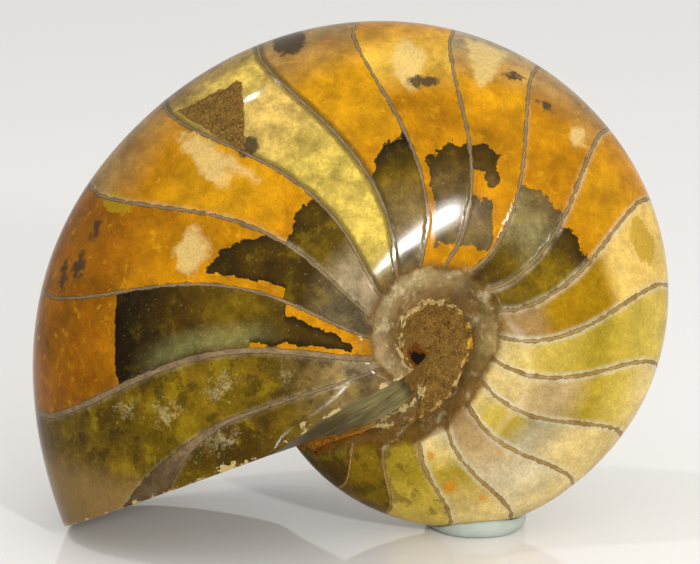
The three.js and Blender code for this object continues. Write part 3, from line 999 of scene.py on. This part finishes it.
def build_putty():
    """A pellet of putty pressed to a round pad, dented by the shell that stands in it."""
    low, high = (np.array(corner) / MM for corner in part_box("putty_pad"))
    middle, half = (low + high) / 2, (high - low) / 2
    height = high[2]
    shell_surface = BVHTree.FromObject(shell, bpy.context.evaluated_depsgraph_get())
    climbs = np.linspace(0, 180, PUTTY_RIM_STEPS)
    profile = [(share, 0) for share in np.linspace(0, PUTTY_FOOT, PUTTY_RINGS)[1:-1]]
    profile += [(blend(PUTTY_FOOT, 1, sine(climb)), (1 - cosine(climb)) / 2) for climb in climbs]
    profile += [(share, 1) for share in np.linspace(PUTTY_FOOT, 0, PUTTY_RINGS)[1:-1]]
    points = [(middle[0], middle[1], 0)]
    for share, lift in profile:
        for turn in np.linspace(0, TURN, PUTTY_SIDES, endpoint=False):
            way = Vector((cosine(turn), sine(turn), 0))
            spread = share * (1 + PUTTY_WOBBLE * noise.noise(way * PUTTY_LOBES) - PUTTY_WOBBLE)
            x, y = middle[:2] + half[:2] * spread * np.array(way[:2])
            dent = noise.noise(Vector((x, y, PUTTY_DENT)) / PUTTY_DENT)
            z = lift * height * (1 - PUTTY_DOME * share * share + PUTTY_DENT_DEPTH * dent)
            hit = shell_surface.ray_cast(Vector((x, y, -5)) * MM, Vector((0, 0, 1)))[0]
            if hit is not None:
                z = min(z, max(0, hit.z / MM - PUTTY_GAP))
            points.append((x, y, z))
    top = shell_surface.ray_cast(Vector((middle[0], middle[1], -5)) * MM, Vector((0, 0, 1)))[0]
    points.append((middle[0], middle[1], min(height, top.z / MM - PUTTY_GAP)))
    faces = []
    rings, last = len(profile), len(points) - 1
    for side in range(PUTTY_SIDES):
        beside = (side + 1) % PUTTY_SIDES
        faces.append((0, 1 + beside, 1 + side))
        for ring in range(rings - 1):
            a, b = 1 + ring * PUTTY_SIDES, 1 + (ring + 1) * PUTTY_SIDES
            faces.append((a + side, a + beside, b + beside, b + side))
        end = 1 + (rings - 1) * PUTTY_SIDES
        faces.append((end + side, end + beside, last))
    mesh = bpy.data.meshes.new("putty_foot")
    mesh.from_pydata([tuple(Vector(p) * MM) for p in points], [], faces)
    mesh.shade_smooth()
    piece = bpy.data.objects.new("putty_foot", mesh)
    bpy.context.scene.collection.objects.link(piece)
    return piece


shell = build_shell()
shell.data.materials.append(polished_calcite())
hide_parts("fossil_shell")
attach(shell, "root")

putty = build_putty()
putty.data.materials.append(pressed_putty())
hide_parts("putty_pad")
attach(putty, "root")

# Studio: a glossy white table, soft light that is stronger from above and from the right, four lamps, and the
# camera of the photograph

TABLE_HALF = 3.0
table_mesh = bpy.data.meshes.new("table_top")
table_corners = [(x * TABLE_HALF, y * TABLE_HALF, 0) for x, y in ((-1, -1), (1, -1), (1, 1), (-1, 1))]
table_mesh.from_pydata(table_corners, [], [(0, 1, 2, 3)])
table = bpy.data.objects.new("table_top", table_mesh)
bpy.context.scene.collection.objects.link(table)
# White lacquer, sprayed and left to flow out: pale, and a mirror at low angles.
lacquer, _, lacquer_shader = new_material("white_lacquer")
lacquer_shader.inputs["Base Color"].default_value = rgba("#EFEDEA")
lacquer_shader.inputs["Roughness"].default_value = 0.05
table_mesh.materials.append(lacquer)

world = bpy.data.worlds.new("studio")
bpy.context.scene.world = world
world.use_nodes = True
sky = world.node_tree
background = sky.nodes["Background"]
background.inputs["Color"].default_value = rgba("#FBFAF8")
sky_way = put(sky, "TexCoord", output="Generated")
way_up = put(sky, "SeparateXYZ", inputs={0: sky_way}, output="Z")
way_right = put(sky, "SeparateXYZ", inputs={0: sky_way}, output="X")
glow = put(
    sky,
    "MapRange",
    inputs={"Value": way_up, "From Min": 0.0, "From Max": 0.8, "To Min": 0.74, "To Max": 1.04},
)
side = put(
    sky,
    "MapRange",
    inputs={"Value": way_right, "From Min": -1, "From Max": 1, "To Min": 0.62, "To Max": 1.22},
)
glow = put(sky, "Math", {"operation": "MULTIPLY"}, {0: glow, 1: side})
sky.links.new(glow, background.inputs["Strength"])
bpy.context.scene.view_settings.view_transform = "Standard"

POLE = Vector(stand) * MM


def softbox(name, across, above, distance, width, height, watts):
    """A lamp facing the shell: degrees to the right of the front and above the table, lengths in metres."""
    lamp = bpy.data.lights.new(name, "AREA")
    lamp.shape = "RECTANGLE"
    lamp.size, lamp.size_y, lamp.energy = width, height, watts
    way = Vector((sine(across) * cosine(above), -cosine(across) * cosine(above), sine(above)))
    holder = bpy.data.objects.new(name, lamp)
    holder.location = POLE + way * distance
    holder.rotation_euler = way.to_track_quat("Z", "Y").to_euler()
    bpy.context.scene.collection.objects.link(holder)


softbox("lamp_by_camera", 24.5, 22.7, 0.75, 0.02, 0.06, 1.5)
softbox("lamp_veil", 24.5, 22.7, 0.76, 0.035, 0.13, 0.9)
softbox("lamp_low", 11.2, 4.5, 0.75, 0.03, 0.2, 1.6)
softbox("lamp_above", -85, 65, 0.9, 0.035, 0.035, 1.0)

CAMERA_DISTANCE, PIXELS_PER_MM, FRAME_WIDTH, SENSOR = 620, 5.3, 700, 36
ELEVATION = LEAN
AIM_LEFT, AIM_UP = 15.66, 10.57
camera_data = bpy.data.cameras.new("camera")
camera = bpy.data.objects.new("camera", camera_data)
sight = np.array([0, cosine(ELEVATION), -sine(ELEVATION)])
upright = np.array([0, sine(ELEVATION), cosine(ELEVATION)])
eye = stand - sight * CAMERA_DISTANCE + np.array([-AIM_LEFT, 0, 0]) + upright * AIM_UP
camera.location = Vector(eye) * MM
camera.rotation_euler = (np.radians(90 - ELEVATION), 0, 0)
camera_data.sensor_width = SENSOR
camera_data.lens = PIXELS_PER_MM * CAMERA_DISTANCE / FRAME_WIDTH * SENSOR
camera_data.clip_end = 50
bpy.context.scene.collection.objects.link(camera)
bpy.context.scene.camera = camera
